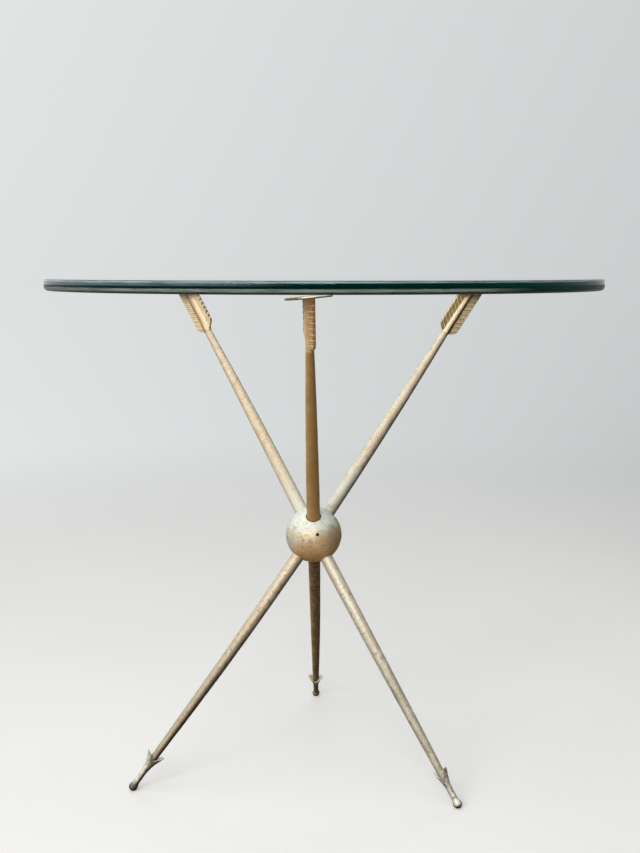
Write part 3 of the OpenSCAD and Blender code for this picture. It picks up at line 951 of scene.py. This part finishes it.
def build_head(i):
    """The cast head: knob, neck, a lens-shaped flare and a notch with the shaft's socket."""
    arrow = arrows[i]
    axes = arrow.knob.turned(HEAD_TURN[i])
    length, half = HEAD_L[i], BARB_HALF[i]
    flare, out = length - FLARE_Z, half - NECK_R
    flank_r = (flare ** 2 + out ** 2) / (2 * out)
    drop = (HEAD_T - BARB_T) / 2
    lens_r = (half ** 2 + drop ** 2) / (2 * drop)
    lens_shift = lens_r - HEAD_T / 2
    notch_z = length - NOTCH_DEPTH
    rise = NOTCH_DEPTH / (half - BARB_TIP_W)
    socket_r = LOWER_SHAFT_D[2] / 2 + HEAD_SOCKET_GAP

    def parts(points):
        x, y, z = points.T
        radius = np.hypot(x, y)
        knob = np.linalg.norm(points, axis=1) - KNOB_R
        above = np.clip(z - FLARE_Z, 0, flank_r * 0.9)
        neck = radius - (NECK_R + flank_r - np.sqrt(flank_r ** 2 - above ** 2))
        lens = np.hypot(x, np.abs(y) + lens_shift) - lens_r
        body = soft_max(np.maximum(neck, -z), lens, LENS_BLEND)
        body = soft_min(body, knob, KNOB_BLEND)
        notch = (z - notch_z - rise * (np.sqrt(x ** 2 + 0.5) - 0.7)) * math.cos(math.atan(rise))
        notch = soft_max(notch, z - length, 0.5)
        socket = -np.maximum(radius - socket_r, arrow.head_seat - z)
        floor = -axes.place(points)[:, 2]
        return neck, lens, body, notch, socket, floor

    def field(points):
        *_, body, notch, socket, floor = parts(points)
        solid = soft_max(body, notch, NOTCH_WEAR_R)
        solid = soft_max(solid, socket, HEAD_SOCKET_WEAR_R)
        return np.maximum(solid, floor)

    margin = half + 2
    points, quads, normals = surface_net(
        field, (-margin, -HEAD_T / 2 - 2, -KNOB_R - 1.5),
        (margin, HEAD_T / 2 + 2, length + 2), CAST_STEP
    )
    neck, lens, body, notch, socket, floor = parts(points)
    # Painted highlight along the rims of the notch and the edges of the flare
    edge = np.exp(-np.abs(body - notch) / 0.8) * 0.8
    sides = np.exp(-np.abs(neck - lens) / 0.7) * smooth_step(points[:, 2], FLARE_Z, length) * 0.5
    edge = np.clip(np.maximum(edge, sides), 0, 1)
    world = axes.place(points)
    outward = axes.point(normals)
    # Painted shade on the side away from the light, over an even dark tone
    even, shaded = HEAD_SOOT[i]
    soot = even + shaded * smooth_step(outward @ -LIT_SIDE, -0.7, 0.4)
    # Darker towards the floor, up to each head's given height, and a dark joint round the socket
    foot = (1 - smooth_step(world[:, 2], FOOT_GRIME[i] / 2, FOOT_GRIME[i])) * 0.8
    grime = np.maximum(foot, np.exp(-np.abs(socket) / 0.3) * 0.5)
    free = smooth_step(world[:, 2], 0.2, 2.0)
    raise_by = (lumps(points, HEAD_LUMPS, i) - HEAD_SINK) * free
    world = world + outward * raise_by[:, None]
    make_piece(
        f"arrow_{i}_head", world, quads, "head_brass",
        edge=edge, grime=grime, soot=soot, tone=HEAD_TONE[i]
    )


def build_fletching(i):
    """The cast fletching: midrib, two vanes of raised barbs that sweep back, and the rivet stub."""
    arrow = arrows[i]
    start = arrow.upper_l - FLETCH_L[i]
    axes = arrow.upper.moved(start).turned(FLETCH_TURN[i])
    sweep = math.radians(RIB_SWEEP)
    base_r = UPPER_SHAFT_D[2] / 2

    def parts(points):
        x, y, z = points.T
        side = np.abs(x)
        barb = z - side * math.tan(sweep)
        turn = barb / RIB_PITCH[i] - RIB_START[i]
        off = np.abs(turn - np.round(turn)) * RIB_PITCH[i] * math.cos(sweep)
        between = RIB_PITCH[i] / 2 * math.cos(sweep) - off
        strong = 1 - smooth_step(off, 0.35, 1.3)
        raised = np.maximum(strong, 0.55 - 0.55 * smooth_step(between, 0.1, 0.9))
        rail = smooth_step(side, VANE_W - RAIL_W, VANE_W - RAIL_W / 2)
        midrib_r = base_r + (MIDRIB_R - base_r) * z / FLETCH_L[i]
        hollow = 0.45 * np.exp(-np.abs(x - midrib_r) / 0.6)
        thick = WEB_T / 2 + (RIB_T - WEB_T) / 2 * np.maximum(raised, 0.9 * rail) - hollow
        low = -(barb * math.cos(sweep) + RIB_W / 2)
        vane = soft_max(side - VANE_W, low, VANE_CORNER_R)
        vane = soft_max(vane, np.abs(y) - thick, VANE_WEAR_R)
        grown = smooth_step(z, 2, 12)
        midrib = np.hypot(x + 0.35 * grown, y) - (midrib_r - 0.25 * grown)
        midrib = np.maximum(midrib, -z)
        return barb, off, raised, rail, low, midrib_r, vane, midrib

    def field(points):
        *_, vane, midrib = parts(points)
        plate = arrow.plate.local(axes.place(points))
        left = smooth_step(-points[:, 0], -1, 1)
        blend = MIDRIB_BLEND_RIGHT + (MIDRIB_BLEND[i] - MIDRIB_BLEND_RIGHT) * left
        solid = np.maximum(soft_min(vane, midrib, blend), plate[:, 2])
        stub_side = np.hypot(plate[:, 0], plate[:, 1]) - RIVET_R
        stub_end = np.abs(plate[:, 2]) - PLATE_T + RIVET_GAP
        return np.minimum(solid, np.maximum(stub_side, stub_end))

    margin = VANE_W + 1.5
    points, quads, normals = surface_net(
        field, (-margin, -base_r - 1.5, -3),
        (margin, base_r + 1.5, FLETCH_L[i] + 12), CAST_STEP
    )
    barb, off, raised, rail, low, midrib_r, vane, midrib = parts(points)
    x = points[:, 0]

    def each_side(values):
        return np.where(x > 0, *values[i])

    on_midrib = smooth_step(vane - midrib, -0.4, 0.8)
    relief = 1 - (1 - np.maximum(raised, on_midrib)) * each_side(BARB_CONTRAST)
    # Painted highlight on the midrib's upper side, and on the outer rail where given
    ridge = on_midrib * band(x / midrib_r, -1.2, -0.8, 0, 0.4)
    ridge = np.maximum(ridge, rail * each_side(BRIGHT_RAIL))
    # Painted shade under the midrib's lower side, in the gaps between barbs at the outer edge, and
    # on the lower ends of the vanes
    under = smooth_step(x / midrib_r, -0.1, 0.35) * (1 - smooth_step(x - midrib_r, 0.2, 1.5))
    gaps = smooth_step(off, 0.8, 1.5) * smooth_step(np.abs(x), VANE_W - 2.6, VANE_W - 1.6)
    ends = smooth_step(low, -0.9, -0.3) * (1 - on_midrib)
    groove = np.maximum(under * UNDER_MIDRIB[i], gaps * each_side(EDGE_GAPS))
    groove = np.maximum(groove, ends * each_side(END_GRIME))
    grain = np.stack([barb, np.abs(x), np.sign(x) * 5], axis=1)
    world = axes.place(points)
    free = smooth_step(-arrow.plate.local(world)[:, 2], 0.2, 1.5)
    raise_by = (lumps(points, FLETCH_LUMPS, i) - FLETCH_SINK) * free
    world = world + axes.point(normals) * raise_by[:, None]
    make_piece(
        f"arrow_{i}_fletching", world, quads, "fletching_brass",
        relief=relief, ridge=0.85 * ridge, groove=groove, grain=grain,
        gold=FLETCH_GOLD[i], tone=each_side(FLETCH_TONE)
    )


def build_plate(i):
    """The thin round plate on the nock, with a rounded edge, a slight wave, a painted highlight on
    part of its upper rim and painted shade along its lower rim.
    """
    hole = RIVET_R + RIVET_GAP
    bevel = PLATE_BEVEL
    across = [hole, *np.linspace(hole + 1, PLATE_R - bevel - 0.3, 8)]
    profile = [(radius, 0) for radius in across]
    profile += arc((PLATE_R - bevel, bevel), bevel, -90, 0, 3)
    profile += arc((PLATE_R - bevel, PLATE_T - bevel), bevel, 0, 90, 3)
    profile += [(radius, PLATE_T) for radius in reversed(across)]
    points, faces = lathe(profile, PLATE_SIDES, ring=True)
    radius = np.linalg.norm(points[:, :2], axis=1)
    rim = smooth_step(radius, 14, PLATE_R)
    points[:, 2] += rim * 0.12 * ripple(flat(points), 12, 60 + i)
    points[:, :2] *= 1 + (0.004 * rim * ripple(flat(points), 7, 70 + i))[:, None]
    edge = smooth_step(radius, 21, 22)
    # Painted highlight on part of the upper rim, for the front plate only
    worn = smooth_step(points[:, 1], -7, -4) * smooth_step(points[:, 2], 0.6, 1) * edge
    # Painted shade along the lower edge of the rim
    grime = (1 - smooth_step(points[:, 2], 0.5, 0.9)) * 0.9 * edge
    make_piece(
        f"arrow_{i}_rest_plate", arrows[i].plate.place(points), faces, "plate_brass",
        worn=worn * PLATE_WORN[i], grime=grime
    )


def build_bumper(i):
    """The soft pad between plate and glass, pressed out a little at its side."""
    plate = arrows[i].plate
    outward = unit(plate.x * (1, 1, 0))
    sideways = np.cross(UP, outward)
    middle = plate.origin + sideways * BUMPER_SHIFT[i]
    rim_r = BUMPER_R - BUMPER_INSET
    across = [0, BUMPER_R * 0.6, rim_r - 0.4]
    profile = [(radius, 0) for radius in across]
    profile += [(rim_r + BUMPER_BULGE * 4 * t * (1 - t), t) for t in np.linspace(0, 1, 9)]
    profile += [(radius, 1) for radius in reversed(across)]
    points, faces = lathe(profile, BUMPER_SIDES)
    world = middle + points[:, :1] * outward + points[:, 1:2] * sideways
    over_plate = plate.origin + plate.z * (PLATE_T + BUMPER_GAP)
    lower = over_plate[2] - ((world - over_plate)[:, :2] @ plate.z[:2]) / plate.z[2]
    upper = GLASS_Z - BUMPER_GAP
    world[:, 2] = lower + points[:, 2] * (upper - lower)
    make_piece(f"arrow_{i}_bumper", world, faces, "clear_bumper")


# Studio

def add_camera():
    data = bpy.data.cameras.new("photo_camera")
    data.sensor_width = SENSOR_MM
    data.lens = FOCAL_PIXELS / IMAGE_HEIGHT * SENSOR_MM
    camera = add_object("photo_camera", data)
    camera.location = CAMERA_PLACE
    camera.rotation_euler = (math.radians(90 - CAMERA_DOWN), 0, math.radians(-CAMERA_RIGHT))
    bpy.context.scene.camera = camera


def add_area(name, place, size, power, colour):
    data = bpy.data.lights.new(name, "AREA")
    data.shape = "RECTANGLE"
    data.size, data.size_y = size
    data.energy = power
    data.color = colour
    light = add_object(name, data)
    light.location = place
    way = Vector(LAMP_TARGET) - Vector(place)
    light.rotation_euler = way.to_track_quat("-Z", "Y").to_euler()


def backdrop_tone(tree, way):
    """The backdrop's tone in a direction from the table: pale, and darker to the right."""
    share = tree.spread(tree.dot(way, *PALE_SIDE), -1, 1, kind="LINEAR")
    tones = tree.add("ValToRGB", Fac=share)
    steps = tones.color_ramp.elements
    steps[0].color, middle, steps[1].color = BACKDROP_TONES
    steps.new(0.5).color = middle
    return tones.outputs["Color"]


def seen_rays(tree, gloss):
    """1 for what is seen, also through glass, the given share in a gloss, and 0 for any other."""
    path = tree.add("LightPath").outputs
    mirrored = tree.math("MULTIPLY", path["Is Glossy Ray"], gloss)
    seen = tree.math("MAXIMUM", path["Is Camera Ray"], path["Is Transmission Ray"])
    return tree.math("MAXIMUM", seen, mirrored)


def add_floor():
    """A pale floor with the table's shadow, which passes into the backdrop far out."""
    shader = Shader("pale_floor")
    seen = seen_rays(shader, FLOOR_GLOSS)
    cloud = shader.spread(shader.noise(300, 3), 0.3, 0.7)
    shader.set(
        Base_Color=shader.mix(seen, FLOOR_BOUNCE, shader.mix(cloud, *FLOOR_SHADES)),
        Roughness=0.75,
        Emission_Color=FLOOR_GLOW_COLOUR,
        Emission_Strength=shader.math("MULTIPLY", seen, FLOOR_GLOW),
    )
    far = shader.add("VectorMath", {"operation": "NORMALIZE"})
    shader.feed(far.inputs[0], shader.place)
    distance = shader.add("VectorMath", {"operation": "LENGTH"})
    shader.feed(distance.inputs[0], shader.place)
    glow = shader.add("Emission", Color=backdrop_tone(shader, far.outputs["Vector"]))
    fade = shader.math("MULTIPLY", shader.spread(distance.outputs["Value"], *FLOOR_FADE), seen)
    surface = shader.blend(fade, shader.surface.outputs["BSDF"], glow.outputs["Emission"])
    shader.feed(shader.nodes["Material Output"].inputs["Surface"], surface)
    ring = [(x, y, 0) for x, y in arc((0, 0), FLOOR_R, 0, 360, FLOOR_SIDES)[:-1]]
    mesh = bpy.data.meshes.new("floor")
    mesh.from_pydata(ring, [], [list(range(FLOOR_SIDES))])
    mesh.materials.append(shader.material)
    floor = add_object("floor", mesh)


def add_world():
    """Even soft light for surfaces, and the backdrop for what is seen or mirrored."""
    world = bpy.data.worlds.new("studio")
    bpy.context.scene.world = world
    world.use_nodes = True
    world.node_tree.nodes.clear()
    tree = Tree(world.node_tree)
    way = tree.add("TexCoord").outputs["Generated"]
    shown = tree.add("Background", Color=backdrop_tone(tree, way))
    even = tree.add("Background", Color=EVEN_COLOUR, Strength=EVEN_LIGHT)
    light, backdrop = even.outputs["Background"], shown.outputs["Background"]
    tree.add("OutputWorld", Surface=tree.blend(seen_rays(tree, BACKDROP_GLOSS), light, backdrop))


bpy.context.scene.view_settings.view_transform = "Standard"
add_camera()
add_floor()
add_world()
for name, lamp in LAMPS.items():
    add_area(name, *lamp)

makers = (
    clear_glass, ball_brass, upper_shaft_brass, lower_shaft_brass,
    head_brass, fletching_brass, plate_brass, clear_bumper,
)
materials = {maker.__name__: maker() for maker in makers}

build_glass()
build_ball()
for i, arrow in arrows.items():
    upper_tone, lower_tone = SHAFT_TONE[i]
    build_shaft(
        f"arrow_{i}_upper_shaft", arrow.upper, SEAT_R, arrow.upper_l - FLETCH_L[i],
        UPPER_SHAFT_D, "upper_shaft_brass", upper_tone, 80 + i
    )
    build_shaft(
        f"arrow_{i}_lower_shaft", arrow.lower, SEAT_R, arrow.lower_l - arrow.head_seat,
        LOWER_SHAFT_D, "lower_shaft_brass", lower_tone, 90 + i
    )
    build_head(i)
    build_fletching(i)
    build_plate(i)
    build_bumper(i)
